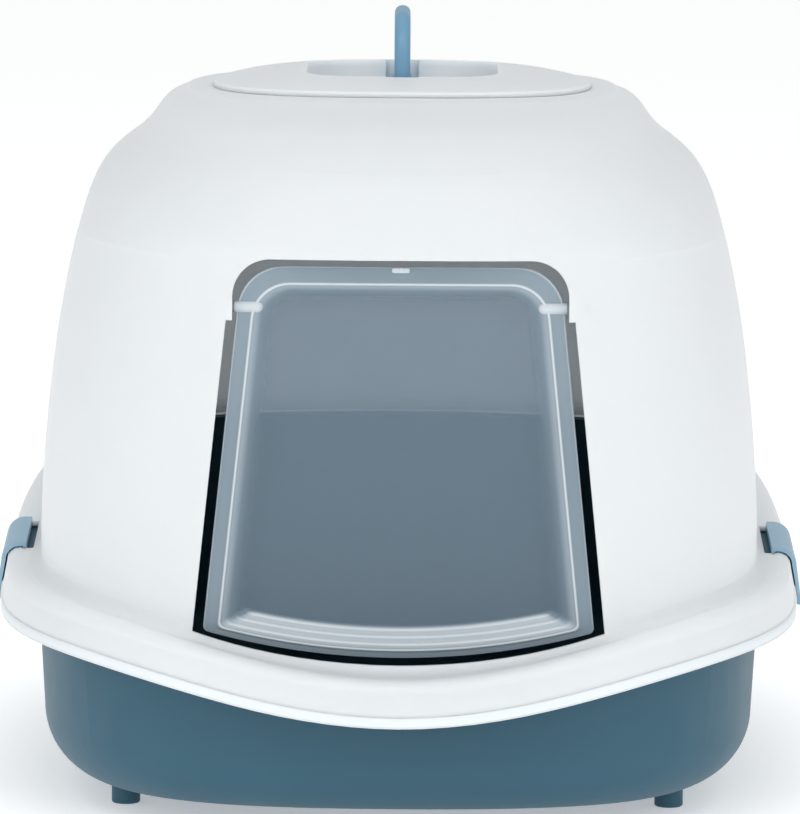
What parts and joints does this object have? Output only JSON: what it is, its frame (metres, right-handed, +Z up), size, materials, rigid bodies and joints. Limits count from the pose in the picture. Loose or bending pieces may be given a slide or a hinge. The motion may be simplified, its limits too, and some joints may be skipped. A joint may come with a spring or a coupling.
{
  "type": "hooded litter box",
  "caption": "Hooded litter box: a deep tray on feet, a domed clip-on hood with a see-through swing door, a vented filter well under a top cover and a folding carry handle.",
  "frame": {"origin": "on the floor under the middle of the box", "axes": "+Z up, the door faces -Y, +X to the right of a person who looks at the door"},
  "size_m": [0.4056, 0.5599, 0.3815],
  "materials": {
    "hood_white": "satin moulded white",
    "tray_blue": "satin moulded slate blue",
    "trim_blue": "satin moulded light slate blue",
    "flap_clear": "smoky see-through moulding",
    "filter_felt": "charcoal felt"
  },
  "bodies": {
    "tray": {"tray": "tray_blue", "foot_front_left": "tray_blue", "foot_front_right": "tray_blue", "foot_rear_left": "tray_blue", "foot_rear_right": "tray_blue"},
    "hood": {"hood": "hood_white", "top_cover": "hood_white", "carbon_filter": "filter_felt"},
    "flap": {"door_flap": "flap_clear"},
    "handle": {"carry_handle": "trim_blue"},
    "latch_left": {"latch_left": "trim_blue"},
    "latch_right": {"latch_right": "trim_blue"}
  },
  "joints": [
    {"name": "hood_lift", "type": "slide", "parent": "tray", "child": "hood", "axis": [0, 0, 1], "range_m": [0, 0.1]},
    {"name": "door_swing", "type": "hinge", "parent": "hood", "child": "flap", "pos_m": [0, -0.2315, 0.253], "axis": [1, 0, 0], "range_deg": [-80, 80]},
    {"name": "handle_fold", "type": "hinge", "parent": "hood", "child": "handle", "pos_m": [0, 0, 0.34], "axis": [0, 1, 0], "range_deg": [-90, 90]},
    {"name": "latch_left_swing", "type": "hinge", "parent": "hood", "child": "latch_left", "pos_m": [-0.188, -0.04251, 0.11518], "axis": [0, 0.9927, 0.1209], "range_deg": [0, 95]},
    {"name": "latch_right_swing", "type": "hinge", "parent": "hood", "child": "latch_right", "pos_m": [0.188, -0.04251, 0.11518], "axis": [0, -0.9927, -0.1209], "range_deg": [0, 95]}
  ]
}
